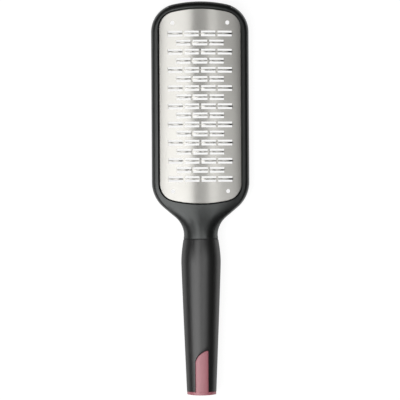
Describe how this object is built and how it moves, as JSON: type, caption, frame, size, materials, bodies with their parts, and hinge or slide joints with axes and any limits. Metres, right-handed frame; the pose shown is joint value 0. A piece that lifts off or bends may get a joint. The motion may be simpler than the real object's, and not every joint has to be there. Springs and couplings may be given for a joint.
{
  "type": "rasp zester",
  "caption": "Paddle rasp with a bowed stainless plate of raised double-edged blades in a plastic rim, and a soft tapered grip with a pink end cap.",
  "frame": {"origin": "on the surface that the rasp lies on, under the middle of its length and width", "axes": "+Y from the grip to the tip, +X to the right seen from the blade side with the tip up, +Z out of the blade side"},
  "size_m": [0.0702, 0.2828, 0.0219],
  "materials": {
    "plate": "brushed along the blades, satin",
    "frame": "fine satin texture",
    "bezel": "fine satin texture",
    "foot": "matte",
    "grip": "soft matte",
    "cap": "semi-gloss"
  },
  "bodies": {
    "root": {"grating_plate": "plate", "head_frame": "frame", "rear_bezel": "bezel", "tip_foot": "foot", "grip_sleeve": "grip", "butt_cap": "cap"}
  },
  "joints": []
}
